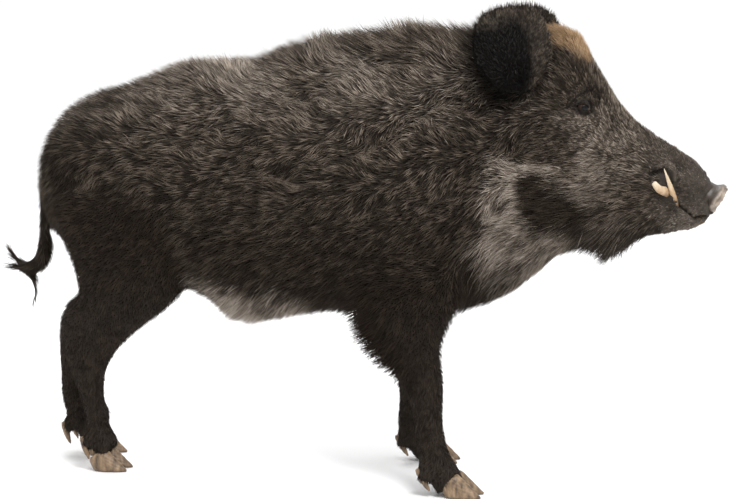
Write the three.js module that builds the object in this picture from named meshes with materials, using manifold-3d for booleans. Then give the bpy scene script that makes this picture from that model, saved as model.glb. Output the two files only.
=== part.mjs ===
// A life-size standing wild boar, out to the tips of its coat.
// Millimetres, +Z up, +X forward, +Y to the animal's left. The floor is z = 0.
import * as THREE from "three";
import { mergeVertices } from "three/addons/utils/BufferGeometryUtils.js";
import Module from "manifold-3d";

const wasm = await Module();
wasm.setup();

// ---------------------------------------------------------------- driving dimensions
const GAP = 0.4; // between neighbouring solids
const HUGE = 3000; // side of the blocks that part the body

const BODY_AROUND = 24;
const BODY_ROWS = 36;
const LEG_AROUND = 12;
const LEG_ROWS = 18;

// Upright sections of the body from rump to lips. "widest" is the height of the widest point,
// "half" the half width there; "crown" and "keel" round the upper and lower halves (2 is an ellipse).
const BODY = [
  { x: -613, top: 568, bottom: 520, widest: 544, half: 20, crown: 2.0, keel: 2.0 },
  { x: -605, top: 590, bottom: 480, widest: 542, half: 50, crown: 2.0, keel: 2.0 },
  { x: -585, top: 630, bottom: 436, widest: 540, half: 88, crown: 2.0, keel: 2.0 },
  { x: -552, top: 667, bottom: 402, widest: 543, half: 118, crown: 2.0, keel: 2.0 },
  { x: -514, top: 692, bottom: 378, widest: 546, half: 137, crown: 2.0, keel: 2.1 },
  { x: -440, top: 715, bottom: 352, widest: 542, half: 152, crown: 2.0, keel: 2.2 },
  { x: -386, top: 738, bottom: 342, widest: 536, half: 157, crown: 1.95, keel: 2.2 },
  { x: -333, top: 757, bottom: 337, widest: 530, half: 160, crown: 1.9, keel: 2.2 },
  { x: -296, top: 761, bottom: 319, widest: 522, half: 162, crown: 1.9, keel: 2.2 },
  { x: -252, top: 762, bottom: 278, widest: 516, half: 164, crown: 1.9, keel: 2.2 },
  { x: -210, top: 763, bottom: 265, widest: 516, half: 166, crown: 1.88, keel: 2.2 },
  { x: -165, top: 774, bottom: 274, widest: 516, half: 168, crown: 1.85, keel: 2.2 },
  { x: -115, top: 797, bottom: 282, widest: 520, half: 170, crown: 1.8, keel: 2.2 },
  { x: -27, top: 810, bottom: 294, widest: 528, half: 172, crown: 1.75, keel: 2.2 },
  { x: 54, top: 825, bottom: 300, widest: 534, half: 170, crown: 1.72, keel: 2.2 },
  { x: 120, top: 829, bottom: 303, widest: 542, half: 162, crown: 1.72, keel: 2.1 },
  { x: 190, top: 826, bottom: 303, widest: 552, half: 150, crown: 1.75, keel: 2.0 },
  { x: 245, top: 824, bottom: 325, widest: 562, half: 137, crown: 1.8, keel: 2.0 },
  { x: 300, top: 828, bottom: 363, widest: 574, half: 122, crown: 1.9, keel: 2.0 },
  { x: 345, top: 825, bottom: 404, widest: 580, half: 114, crown: 1.95, keel: 2.0 },
  { x: 374, top: 814, bottom: 422, widest: 582, half: 110, crown: 2.0, keel: 2.0 },
  { x: 404, top: 779, bottom: 426, widest: 572, half: 106, crown: 2.05, keel: 2.0 },
  { x: 428, top: 722, bottom: 418, widest: 560, half: 98, crown: 2.1, keel: 2.0 },
  { x: 454, top: 685, bottom: 408, widest: 548, half: 88, crown: 2.1, keel: 2.0 },
  { x: 484, top: 653, bottom: 426, widest: 540, half: 74, crown: 2.1, keel: 2.1 },
  { x: 510, top: 635, bottom: 447, widest: 536, half: 63, crown: 2.1, keel: 2.2 },
  { x: 536, top: 618, bottom: 454, widest: 532, half: 55, crown: 2.15, keel: 2.3 },
  { x: 566, top: 600, bottom: 459, widest: 530, half: 48, crown: 2.2, keel: 2.3 },
  { x: 590, top: 580, bottom: 463, widest: 526, half: 42, crown: 2.2, keel: 2.2 },
  { x: 606, top: 560, bottom: 470, widest: 520, half: 35, crown: 2.1, keel: 2.1 },
  { x: 613, top: 548, bottom: 482, widest: 516, half: 26, crown: 2.0, keel: 2.0 },
];

// Level sections of a leg, from where it is buried in the body to the pastern above the hooves.
// "side" is how far the leg's middle stands from the body's middle plane.
const FORE_LEG = [
  { z: 470, front: 190, back: 36, half: 42, side: 88 },
  { z: 400, front: 212, back: 0, half: 54, side: 96 },
  { z: 350, front: 208, back: -8, half: 56, side: 101 },
  { z: 316, front: 194, back: -4, half: 52, side: 105 },
  { z: 290, front: 180, back: 8, half: 46, side: 108 },
  { z: 266, front: 171, back: 22, half: 41, side: 111 },
  { z: 240, front: 167, back: 39, half: 37, side: 114 },
  { z: 210, front: 167, back: 78, half: 34, side: 117 },
  { z: 180, front: 168, back: 98, half: 31, side: 120 },
  { z: 140, front: 167, back: 112, half: 27, side: 124 },
  { z: 105, front: 170, back: 115, half: 27, side: 127 },
  { z: 80, front: 177, back: 118, half: 30, side: 129 },
  { z: 60, front: 187, back: 124, half: 31, side: 130 },
  { z: 42, front: 198, back: 134, half: 31, side: 131 },
  { z: 24, front: 212, back: 150, half: 31, side: 131 },
  { z: 4, front: 220, back: 160, half: 30, side: 131 },
];
const HIND_LEG = [
  { z: 600, front: -390, back: -548, half: 40, side: 74 },
  { z: 540, front: -345, back: -576, half: 60, side: 82 },
  { z: 480, front: -316, back: -567, half: 72, side: 84 },
  { z: 420, front: -298, back: -542, half: 75, side: 81 },
  { z: 370, front: -298, back: -525, half: 69, side: 78 },
  { z: 330, front: -314, back: -518, half: 59, side: 75 },
  { z: 306, front: -340, back: -532, half: 51, side: 73 },
  { z: 284, front: -368, back: -563, half: 44, side: 71 },
  { z: 260, front: -402, back: -562, half: 39, side: 69 },
  { z: 238, front: -430, back: -557, half: 36, side: 68 },
  { z: 214, front: -452, back: -549, half: 34, side: 67 },
  { z: 188, front: -468, back: -540, half: 31, side: 66 },
  { z: 150, front: -474, back: -527, half: 27, side: 64 },
  { z: 105, front: -472, back: -513, half: 26, side: 62 },
  { z: 80, front: -467, back: -507, half: 29, side: 61 },
  { z: 60, front: -457, back: -502, half: 31, side: 60 },
  { z: 42, front: -444, back: -496, half: 31, side: 60 },
  { z: 24, front: -438, back: -488, half: 31, side: 60 },
  { z: 4, front: -430, back: -482, half: 30, side: 60 },
];
// The left legs stand further back than the right ones, more so towards the foot.
const FORE_SET_BACK = [
  { z: 430, by: 0 }, { z: 290, by: 36 }, { z: 200, by: 61 }, { z: 150, by: 74 },
  { z: 108, by: 78 }, { z: 60, by: 88 }, { z: 0, by: 86 },
];
const HIND_SET_BACK = [
  { z: 480, by: 0 }, { z: 380, by: 14 }, { z: 270, by: 45 }, { z: 205, by: 62 },
  { z: 160, by: 74 }, { z: 120, by: 86 }, { z: 90, by: 88 }, { z: 60, by: 77 }, { z: 0, by: 50 },
];

// Where a leg is divided: knee or hock, and fetlock.
const FORE_CUTS = { knee: 200, fetlock: 92 };
const HIND_CUTS = { knee: 236, fetlock: 92 };

// Planes that divide the body, as a point (x, z) and the forward lean of the cut in degrees.
const NECK_CUT = { x: 170, z: 560, lean: 14 };
const HEAD_CUT = { x: 318, z: 640, lean: 16 };
const MOUTH = { front: { x: 610, z: 482 }, corner: { x: 548, z: 524 } };
const JAW_BACK = 486;

const HOOF = { length: 60, half: 15, height: 52, toeSlope: 1.0, heelSlope: 0.5, cleft: 4, splay: 3 };
const CORONET_LEAN = 38; // degrees that the top of the hoof falls towards the heel
const FORE_TOE = 237;
const HIND_TOE = -429;
const DEWCLAW = { length: 43, half: 8.5, side: 22 };
const FORE_DEWCLAW = { z: 50, behind: 1, lean: 18 };
const HIND_DEWCLAW = { z: 63, behind: 8, lean: 6 };

const EYE = { x: 400, z: 678, radius: 12.5, sunk: 11 };
const EAR = { x: 279, z: 771, side: 106, half: 70, height: 84, thick: 7, cup: 32, square: 2.6 };
const DISC = { x: 628, z: 515, half: 36, height: 29, thick: 8, tilt: 28 };
const NOSTRIL = { side: 13, drop: 3, half: 5.5, height: 7.5, depth: 22 };

// ---------------------------------------------------------------- materials
const finish = (color, roughness, metalness = 0) =>
  new THREE.MeshStandardMaterial({ color, roughness, metalness });
const COAT = finish(0x4f4840, 0.9);
const DARK_COAT = finish(0x2d2823, 0.9);
const EAR_COAT = finish(0x1b1815, 0.95);
const BARE = finish(0x8d8178, 0.6);
const HORN = finish(0x8f7350, 0.55);
const IVORY = finish(0xcbb48c, 0.35);
const EYEBALL = finish(0x120c08, 0.1);

// ---------------------------------------------------------------- helpers
const radians = THREE.MathUtils.degToRad;
const mix = THREE.MathUtils.lerp;

// A smooth value between stations: cubic, with slopes from the neighbours.
function along(stations, axis, key) {
  const sorted = [...stations].sort((a, b) => a[axis] - b[axis]);
  const last = sorted.length - 1;
  const slope = (i) => {
    const before = sorted[Math.max(i - 1, 0)];
    const after = sorted[Math.min(i + 1, last)];
    return (after[key] - before[key]) / (after[axis] - before[axis]);
  };
  return (at) => {
    let i = sorted.findIndex((s) => s[axis] > at) - 1;
    if (i < 0) i = at <= sorted[0][axis] ? 0 : last - 1;
    const span = sorted[i + 1][axis] - sorted[i][axis];
    const t = THREE.MathUtils.clamp((at - sorted[i][axis]) / span, 0, 1);
    const start = sorted[i][key];
    const end = sorted[i + 1][key];
    const bend = slope(i) * span * t * (1 - t) ** 2 - slope(i + 1) * span * t ** 2 * (1 - t);
    return bend + start * (1 + 2 * t) * (1 - t) ** 2 + end * t ** 2 * (3 - 2 * t);
  };
}

const reader = (stations, axis, keys) =>
  Object.fromEntries(keys.map((key) => [key, along(stations, axis, key)]));

// Moves a cylinder's vertices on to a body's surface. "place" gets the share along the axis,
// the unit circle's two coordinates (forward-most first) and the point to set.
function shaped(around, rows, place) {
  const geometry = new THREE.CylinderGeometry(1, 1, 1, around, rows);
  const position = geometry.getAttribute("position");
  const point = new THREE.Vector3();
  for (let i = 0; i < position.count; i++) {
    point.fromBufferAttribute(position, i);
    place(point.y + 0.5, point.z, point.x, point);
    position.setXYZ(i, point.x, point.y, point.z);
  }
  return geometry;
}

function solid(geometry) {
  const bare = geometry.clone();
  bare.deleteAttribute("normal");
  bare.deleteAttribute("uv");
  const merged = mergeVertices(bare, 1e-3);
  return new wasm.Manifold(
    new wasm.Mesh({
      numProp: 3,
      vertProperties: merged.getAttribute("position").array,
      triVerts: new Uint32Array(merged.index.array),
    }),
  );
}

function geometryOf(body) {
  const mesh = body.getMesh();
  return new THREE.BufferGeometry()
    .setAttribute("position", new THREE.BufferAttribute(mesh.vertProperties, mesh.numProp))
    .setIndex(new THREE.BufferAttribute(mesh.triVerts, 1));
}

const round = (value, power) => Math.sign(value) * Math.abs(value) ** (2 / power);

// A huge block whose face passes through (x, z), leaning back from the vertical by "lean" degrees,
// with all of the block in front of that face, or behind it.
function block(x, z, lean, front, clearance = GAP / 2) {
  const box = new THREE.BoxGeometry(HUGE, HUGE, HUGE);
  box.translate(front ? HUGE / 2 + clearance : -HUGE / 2 - clearance, 0, 0);
  box.rotateY(radians(lean));
  box.translate(x, 0, z);
  return solid(box);
}

// ---------------------------------------------------------------- the body, rump to lips
const body = reader(BODY, "x", ["top", "bottom", "widest", "half", "crown", "keel"]);

function bodySolid(grow = 0) {
  const first = BODY[0].x - grow;
  const last = BODY[BODY.length - 1].x + grow;
  const crowd = (t) => (1 - Math.cos(Math.PI * t)) / 2; // rows crowd towards both ends
  const geometry = shaped(BODY_AROUND, BODY_ROWS, (t, across, up, point) => {
    const x = mix(first, last, mix(t, crowd(t), 0.35));
    const widest = body.widest(x);
    const reach = up > 0 ? body.top(x) - widest : widest - body.bottom(x);
    const power = up > 0 ? body.crown(x) : body.keel(x);
    const rim = Math.hypot(across, up) > 0.5 ? 1 : 0;
    const y = rim * (body.half(x) + grow) * round(across, power);
    point.set(x, y, widest + rim * (reach + grow) * round(up, power));
  });
  return solid(geometry);
}

// How far the body's surface stands from its middle plane at a place on the head.
function bodySide(x, z) {
  const widest = body.widest(x);
  const reach = z > widest ? body.top(x) - widest : widest - body.bottom(x);
  const power = z > widest ? body.crown(x) : body.keel(x);
  const share = Math.abs(z - widest) / reach;
  return body.half(x) * (1 - share ** power) ** (1 / power);
}

// ---------------------------------------------------------------- legs
// "hand" is +1 for a left leg and -1 for a right one.
function legPlace(stations, setBack, hand) {
  const at = reader(stations, "z", ["front", "back", "half", "side"]);
  const behind = along(setBack, "z", "by");
  const shift = (z) => (hand > 0 ? -behind(z) : 0);
  return { at, shift };
}

function legSolid(stations, { at, shift }, hand, grow = 0) {
  const top = stations[0].z;
  const foot = stations[stations.length - 1].z;
  const geometry = shaped(LEG_AROUND, LEG_ROWS, (t, forward, across, point) => {
    const z = mix(foot, top, t ** 1.25); // rows crowd towards the foot
    const rim = Math.hypot(forward, across) > 0.5 ? 1 : 0;
    const middle = (at.front(z) + at.back(z)) / 2 + shift(z);
    const depth = (at.front(z) - at.back(z)) / 2 + grow;
    const x = middle + rim * depth * round(forward, 2.15);
    const y = hand * at.side(z) + rim * (at.half(z) + grow) * round(across, 2.15);
    point.set(x, y, z);
  });
  return solid(geometry);
}

// One toe of a hoof: a pointed sole with walls that lean back to the coronet.
function toeSolid(tip, side, turn) {
  const { length, half, height, toeSlope, heelSlope } = HOOF;
  const sole = new THREE.Shape();
  sole.moveTo(0, -half * 0.55);
  sole.bezierCurveTo(length * 0.1, -half * 1.1, length * 0.6, -half * 1.15, length, -half * 0.2);
  sole.quadraticCurveTo(length * 1.01, 0, length, half * 0.2);
  sole.bezierCurveTo(length * 0.6, half * 1.15, length * 0.1, half * 1.1, 0, half * 0.55);
  sole.quadraticCurveTo(-length * 0.03, 0, 0, -half * 0.55);
  const toe = new THREE.ExtrudeGeometry(sole, {
    depth: height, steps: 1, bevelEnabled: false, curveSegments: 4,
  });
  const position = toe.getAttribute("position");
  for (let i = 0; i < position.count; i++) {
    const rise = position.getZ(i);
    const x = position.getX(i) - length;
    const lean = mix(toeSlope, heelSlope, -x / length) * rise;
    position.setXYZ(i, x - lean, position.getY(i), rise);
  }
  toe.rotateZ(radians(turn));
  toe.translate(tip, side, 0);
  return solid(toe);
}

// A small curved claw that hangs behind the fetlock.
function dewclawSolid(x, side, z, lean) {
  const { length, half } = DEWCLAW;
  const geometry = shaped(8, 4, (t, forward, across, point) => {
    const taper = Math.sqrt(Math.max(t, 0.02)) * (1 - 0.25 * t);
    const hook = 7 * (1 - t) ** 2;
    const forwardReach = half * 0.95 * taper * forward;
    point.set(forwardReach + hook, half * taper * across, length * (t - 1));
  });
  geometry.rotateY(radians(-lean));
  geometry.translate(x, side, z);
  return solid(geometry);
}

// ---------------------------------------------------------------- tubes: tail and tusks
// "radius" gives the half thickness at a share of the curve's length, "flat" how much is left
// of it across the curve's own upright plane.
function tube(points, radius, around, rows, flat = 1) {
  const curve = new THREE.CatmullRomCurve3(points.map((p) => new THREE.Vector3(...p)));
  const geometry = shaped(around, rows, (t, first, second, point) => {
    const middle = curve.getPointAt(t);
    const tangent = curve.getTangentAt(t);
    const across = new THREE.Vector3(0, 1, 0).addScaledVector(tangent, -tangent.y).normalize();
    const out = new THREE.Vector3().crossVectors(tangent, across);
    const rim = Math.hypot(first, second) > 0.5 ? radius(t) : 0;
    point.copy(middle);
    point.addScaledVector(across, rim * first * flat);
    point.addScaledVector(out, rim * second);
  });
  return solid(geometry);
}

const taperTo = (start, end, power = 1) => (t) => mix(start, end, t ** power);

function tailSolids(keepOut) {
  const spine = [
    [-566, 0, 588], [-593, 0, 546], [-606, 0, 495], [-608, 0, 440],
    [-606, 0, 404], [-614, 0, 374], [-638, 0, 361], [-663, -1, 361],
  ];
  const girth = [[0, 19], [0.25, 14], [0.55, 12], [0.72, 17], [0.86, 17], [1, 11]]
    .map(([share, radius]) => ({ share, radius }));
  const whole = tube(spine, along(girth, "share", "radius"), 9, 18);
  const tail = whole.subtract(keepOut);
  const bend = 424; // the height where the tail turns back
  const base = tail.subtract(block(0, bend, 90, true, 0));
  const tip = tail.intersect(block(0, bend - GAP, 90, true, 0));
  const wisp = tube(
    [[-654, -1, 362], [-640, 0, 348], [-628, 1, 322], [-633, 1, 290]],
    taperTo(9, 0.9, 0.8), 8, 7,
  );
  const curl = tube([[-652, -2, 366], [-666, -3, 380], [-677, -3, 398]], taperTo(10, 1.2), 8, 4);
  return { base, tip: tip.add(wisp).add(curl) };
}

function tuskCurves(hand) {
  return {
    lower: [
      [[556, hand * 40, 506], [554, hand * 52, 522], [548, hand * 60, 544], [537, hand * 62, 574]],
      taperTo(6.5, 1.0, 1.6),
    ],
    upper: [
      [[548, hand * 40, 530], [540, hand * 54, 534], [529, hand * 64, 539], [520, hand * 67, 550]],
      taperTo(9.5, 4.6, 1.4),
    ],
  };
}
const tusk = ([points, radius], grow = 0) => tube(points, (t) => radius(t) + grow, 8, 7, 0.8);

// ---------------------------------------------------------------- ears, eyes and snout
// A cupped leaf, broad at its middle and rolled at its root, that opens outwards.
function earSolid(hand, grow = 0) {
  const leaf = new THREE.SphereGeometry(1, 14, 10);
  const position = leaf.getAttribute("position");
  for (let i = 0; i < position.count; i++) {
    const [x, up, out] = [position.getX(i), position.getY(i), position.getZ(i)];
    const root = Math.max(0, -up);
    const corner = (Math.abs(x) ** EAR.square + Math.abs(up) ** EAR.square) ** (1 / EAR.square);
    const fuller = up > 0 ? Math.hypot(x, up) / Math.max(corner, 0.01) : 1;
    const breadth = (EAR.half + grow) * (1 - 0.42 * root ** 1.5);
    const cup = EAR.cup * (0.55 + 0.7 * root);
    const depth = (EAR.thick + grow) * out + cup * (x * x - 0.35);
    position.setXYZ(i, breadth * fuller * x, -depth, (EAR.height + grow) * fuller * up);
  }
  leaf.rotateX(radians(-16)); // the tip leans out
  leaf.rotateZ(radians(14)); // and the cup opens a little forwards
  leaf.rotateY(radians(-7));
  leaf.translate(EAR.x, -EAR.side, EAR.z);
  if (hand > 0) {
    leaf.scale(1, -1, 1);
    leaf.index.array.reverse(); // a mirrored face turns round
  }
  return solid(leaf);
}

function eyePlace(hand) {
  return [EYE.x, hand * (bodySide(EYE.x, EYE.z) - EYE.sunk), EYE.z];
}

function eyeSolid(hand, grow = 0) {
  const ball = new THREE.SphereGeometry(EYE.radius + grow, 11, 7);
  ball.translate(...eyePlace(hand));
  return solid(ball);
}

// The flat nose disc with its two nostrils, and the short stem behind it.
function snoutSolid() {
  const { half, height, thick, tilt } = DISC;
  const profile = [
    [0, -thick], [0.8, -thick], [0.95, -thick * 0.6], [1, 0], [0.96, thick * 0.55],
    [0.84, thick * 0.85], [0.5, thick * 0.7], [0, thick * 0.75],
  ].map(([r, h]) => new THREE.Vector2(r, h));
  const disc = new THREE.LatheGeometry(profile, 16);
  disc.scale(height, 1, half);
  disc.rotateZ(radians(-90));
  const stem = new THREE.CylinderGeometry(1, 1, 40, 14);
  stem.scale(height * 0.88, 1, half * 0.84);
  stem.rotateZ(radians(-90));
  stem.translate(-22, 0, 0);
  let snout = solid(disc).add(solid(stem));
  for (const hand of [-1, 1]) {
    const nostril = new THREE.CylinderGeometry(1, 0.7, NOSTRIL.depth, 8);
    nostril.scale(NOSTRIL.height, 1, NOSTRIL.half);
    nostril.rotateZ(radians(-90));
    nostril.translate(thick * 0.6, hand * NOSTRIL.side, -NOSTRIL.drop);
    snout = snout.subtract(solid(nostril));
  }
  const placed = geometryOf(snout);
  placed.rotateY(radians(tilt));
  placed.translate(DISC.x - 4, 0, DISC.z);
  return solid(placed);
}

// ---------------------------------------------------------------- assembly
const boar = new THREE.Group();

function addPart(name, body, material) {
  const mesh = new THREE.Mesh(geometryOf(body), material);
  mesh.name = name;
  boar.add(mesh);
}

const HANDS = [["right", -1], ["left", 1]];
const torso = bodySolid();
const torsoRoom = bodySolid(GAP);

// Tusks, eyes and ears sit in recesses of the head, so the head is cut by slightly larger copies.
let headRoom = torso;
for (const [hand, sign] of HANDS) {
  const curves = tuskCurves(sign);
  for (const tooth of ["lower", "upper"]) {
    headRoom = headRoom.subtract(tusk(curves[tooth], GAP));
    const other = tooth === "upper" ? tusk(curves.lower, GAP) : null;
    const own = other ? tusk(curves[tooth]).subtract(other) : tusk(curves[tooth]);
    addPart(`tusk_${tooth}_${hand}`, own, IVORY);
  }
  headRoom = headRoom.subtract(eyeSolid(sign, GAP));
  addPart(`eye_${hand}`, eyeSolid(sign), EYEBALL);
  addPart(`ear_${hand}`, earSolid(sign).subtract(torsoRoom), EAR_COAT);
}

const inFront = ({ x, z, lean }) => block(x, z, lean, true);
const behind = ({ x, z, lean }) => block(x, z, lean, false);
addPart("trunk", headRoom.intersect(behind(NECK_CUT)), COAT);
addPart("neck", headRoom.intersect(inFront(NECK_CUT)).intersect(behind(HEAD_CUT)), COAT);

const mouthFall = Math.atan2(MOUTH.corner.z - MOUTH.front.z, MOUTH.front.x - MOUTH.corner.x);
const mouthLean = 90 + (mouthFall * 180) / Math.PI;
const belowMouth = block(MOUTH.front.x, MOUTH.front.z, mouthLean, true, 0);
const belowMouthRoom = block(MOUTH.front.x, MOUTH.front.z + GAP, mouthLean, true, 0);
const headWhole = headRoom.intersect(inFront(HEAD_CUT));
const jawZone = (below, clearance) => below.intersect(block(JAW_BACK - clearance, 0, 0, true, 0));
addPart("jaw", headWhole.intersect(jawZone(belowMouth, 0)), COAT);
addPart("head", headWhole.subtract(jawZone(belowMouthRoom, GAP)), COAT);
addPart("snout", snoutSolid().subtract(torsoRoom), BARE);

const tail = tailSolids(torsoRoom);
addPart("tail_base", tail.base, DARK_COAT);
addPart("tail_tip", tail.tip, DARK_COAT);

const LEGS = [
  {
    end: "fore", stations: FORE_LEG, setBack: FORE_SET_BACK,
    cuts: FORE_CUTS, toe: FORE_TOE, dewclaw: FORE_DEWCLAW,
  },
  {
    end: "hind", stations: HIND_LEG, setBack: HIND_SET_BACK,
    cuts: HIND_CUTS, toe: HIND_TOE, dewclaw: HIND_DEWCLAW,
  },
];
for (const { end, stations, setBack, cuts, toe, dewclaw } of LEGS) {
  for (const [hand, sign] of HANDS) {
    const place = legPlace(stations, setBack, sign);
    const footShift = place.shift(0);
    const name = `${end}_${hand}`;
    const leg = legSolid(stations, place, sign).subtract(torsoRoom);
    const legRoom = legSolid(stations, place, sign, GAP);
    const under = (z, gap) => block(0, z - gap, 90, true, 0);
    addPart(`${name}_upper`, leg.subtract(under(cuts.knee, 0)), DARK_COAT);
    const lower = leg.intersect(under(cuts.knee, GAP));
    addPart(`${name}_lower`, lower.subtract(under(cuts.fetlock, 0)), DARK_COAT);

    // The coronet: a plane that falls towards the heel parts the pastern from the hooves.
    const coronet = { x: toe + footShift - 38, z: 45 };
    const hoofZone = (gap) => block(coronet.x, coronet.z - gap, 90 - CORONET_LEAN, true, 0);
    const pastern = lower.intersect(under(cuts.fetlock, GAP)).subtract(hoofZone(0));
    addPart(`${name}_pastern`, pastern, DARK_COAT);

    const middle = sign * place.at.side(0);
    for (const [which, out] of [["outer", sign], ["inner", -sign]]) {
      const side = middle + out * (HOOF.half + HOOF.cleft / 2);
      const toeBody = toeSolid(toe + footShift, side + out * 1.5, out * HOOF.splay);
      addPart(`${name}_hoof_${which}`, toeBody.intersect(hoofZone(GAP)), HORN);
      const clawRoot = place.at.back(dewclaw.z) + place.shift(dewclaw.z) - dewclaw.behind;
      const clawSide = middle + out * DEWCLAW.side;
      const claw = dewclawSolid(clawRoot, clawSide, dewclaw.z, dewclaw.lean);
      addPart(`${name}_dewclaw_${which}`, claw.subtract(legRoom), HORN);
    }
  }
}

// The frame's origin is the middle of the footprint box, at floor level.
const box = new THREE.Box3().setFromObject(boar);
const centre = box.getCenter(new THREE.Vector3());
boar.position.set(-centre.x, -centre.y, -box.min.z);

export default boar;
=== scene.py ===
"""A wild boar standing on a pale studio floor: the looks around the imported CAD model.

One skin stands for all the flesh nodes and lies inside them by the coat's depth. The coat is
tufts of solid bristles rooted on that skin. Metres, +X forward, +Y the animal's left, +Z up.
"""

import math

import bmesh
import bpy
import numpy as np
from mathutils import Matrix, Vector
from mathutils.bvhtree import BVHTree
from mathutils.kdtree import KDTree


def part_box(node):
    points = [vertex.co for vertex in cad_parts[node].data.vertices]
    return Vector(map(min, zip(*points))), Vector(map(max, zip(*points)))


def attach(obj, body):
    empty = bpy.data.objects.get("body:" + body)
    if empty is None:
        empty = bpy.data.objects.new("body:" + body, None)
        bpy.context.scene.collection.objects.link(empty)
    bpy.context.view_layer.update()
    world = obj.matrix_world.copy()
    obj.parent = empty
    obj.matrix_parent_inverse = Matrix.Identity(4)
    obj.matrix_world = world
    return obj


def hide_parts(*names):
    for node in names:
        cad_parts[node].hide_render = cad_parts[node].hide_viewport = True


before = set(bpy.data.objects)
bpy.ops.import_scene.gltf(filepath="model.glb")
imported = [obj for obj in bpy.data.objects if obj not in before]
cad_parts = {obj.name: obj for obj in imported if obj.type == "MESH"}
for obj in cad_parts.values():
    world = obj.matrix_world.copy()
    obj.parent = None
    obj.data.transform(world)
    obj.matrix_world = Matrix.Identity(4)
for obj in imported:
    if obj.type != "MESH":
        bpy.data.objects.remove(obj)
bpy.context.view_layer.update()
rng = np.random.default_rng(7)

# ------------------------------------------------------------------ driving values
VOXEL = 0.0055  # the skin's grid
TUFTS = 160000  # long tufts of the body
SHORT_TUFTS = 86000  # short tufts of face, ears and shanks
TUFT_TRIANGLES = 4
PIECE_TRIANGLES = 190000  # the most that one coat piece may have
LOCK_SIZE = 8  # tufts that lean together in one lock
LOCK_PULL = 0.32  # how far they lean
TONE_CONTRAST = 1.4
STRAY = 0.2  # share of its length from which a tuft may take its marks
TURN_SPREAD = 0.24  # radians that a tuft strays from the lie of the coat
ROOT_SUNK = 0.0012  # a tuft starts this far under the skin
MIN_LIFT, MAX_LIFT = 0.12, 0.80  # sine of the angle between a tuft and the skin
RIM_LIFT = 1.15  # the same angle on the rims of the ears, in radians
THINNEST = 0.30  # the skin sinks no deeper than this share of the body's thickness
CUFF_DROP = np.array([-0.003, 0, 0.0085])  # how the skin hangs over the hooves
PATCH = 0.003  # a tuft's square on the OFBake map

LEGS = [f"{end}_{hand}" for end in ("fore", "hind") for hand in ("right", "left")]
HORN = [f"{leg}_{part}_{place}" for leg in LEGS for part in ("hoof", "dewclaw")
        for place in ("outer", "inner")]
TUSKS = [f"tusk_{row}_{hand}" for row in ("lower", "upper") for hand in ("right", "left")]
FLESH = ["trunk", "neck", "head", "jaw", "ear_right", "ear_left", "tail_base", "tail_tip"]
FLESH += [f"{leg}_{part}" for leg in LEGS for part in ("upper", "lower", "pastern")]


# ------------------------------------------------------------------ small helpers
def corners(node):
    low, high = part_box(node)
    return np.array(low), np.array(high)


def centre(node):
    low, high = corners(node)
    return (low + high) / 2


def smooth(low, high, value):
    """0 at low, 1 at high and a soft slope between them; low may be the larger."""
    t = np.clip((value - low) / (high - low), 0, 1)
    return t * t * (3 - 2 * t)


def unit(vectors):
    return vectors / np.maximum(np.linalg.norm(vectors, axis=-1, keepdims=True), 1e-9)


def waves(points, size, seed):
    """A smooth random field, about -1 to 1, whose bumps are roughly size across."""
    dice, terms = np.random.default_rng(seed), 7
    total = np.zeros(len(points))
    for _ in range(terms):
        direction = unit(dice.normal(size=3))
        speed = 2 * math.pi / (size * dice.uniform(1.2, 3.2))
        total += np.sin(points @ direction * speed + dice.uniform(0, 2 * math.pi))
    return total / math.sqrt(terms / 2) / 1.6


def near(points, place, radius, soft=0.5, stretch=(1, 1, 1)):
    """1 within radius of place, falling to 0 over the next soft shares of the radius."""
    away = np.linalg.norm((points - place) / np.array(stretch), axis=1) / radius
    return 1 - smooth(1, 1 + soft, away)


# ------------------------------------------------------------------ landmarks, from the CAD
EYE = centre("eye_right") * (1, 0, 1)
LEFT_EYE = np.abs(centre("eye_right"))  # folded on to the left, like Regions.side
SNOUT_TIP = corners("snout")[1][0]
DISC = np.array([SNOUT_TIP - 0.0165, 0, corners("snout")[0][2] + 0.0315])  # middle of its face
DISC_TILT = math.radians(30)  # the disc faces forward and down
DISC_FACING = np.array([math.cos(DISC_TILT), 0, -math.sin(DISC_TILT)])
EAR_LOW, EAR_HIGH = corners("ear_right")
EAR_ROOT = np.array([(EAR_LOW[0] + EAR_HIGH[0]) / 2 + 0.004, abs(EAR_HIGH[1]), EAR_LOW[2] + 0.012])
TUSK = np.abs(centre("tusk_lower_right"))
TAIL_LOW = corners("tail_tip")[0]


def chain(start, *steps):
    """Points at steps of (x, z) millimetres from start, all on the plane y = 0."""
    return np.array([(start[0] + x / 1000, 0, start[2] + z / 1000) for x, z in steps])


# The tail hangs, turns back, and ends in a curl and a drooping wisp.
TAIL_LINES = [
    chain(TAIL_LOW, (72, 256), (70, 150), (72, 114), (64, 84), (40, 71), (15, 71)),
    chain(TAIL_LOW, (24, 72), (38, 58), (50, 32), (45, 0)),
    chain(TAIL_LOW, (26, 76), (12, 90), (1, 108)),
]
# The back edge of each foreleg, where a fringe hangs from the elbow.
ELBOW_LINES = {
    side: chain(corners(f"fore_{hand}_upper")[0], (26, 128), (56, 65), (86, 8))
    for hand, side in (("right", -1), ("left", 1))
}


def node_surface(*names):
    """A search tree of the named CAD nodes' faces."""
    verts, faces = [], []
    for name in names:
        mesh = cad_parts[name].data
        first = len(verts)
        verts += [vert.co.copy() for vert in mesh.vertices]
        faces += [tuple(first + i for i in face.vertices) for face in mesh.polygons]
    return BVHTree.FromPolygons(verts, faces)


EAR_SURFACE = node_surface("ear_right", "ear_left")
TAIL_SURFACE = node_surface("tail_base", "tail_tip")


def close_to(surface, points, full, none):
    """1 within full of the surface, and 0 from none away."""
    away = np.full(len(points), 1.0)
    for i, point in enumerate(points):
        hit = surface.find_nearest(Vector(point), none)
        if hit[3] is not None:
            away[i] = hit[3]
    return smooth(none, full, away)


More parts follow.
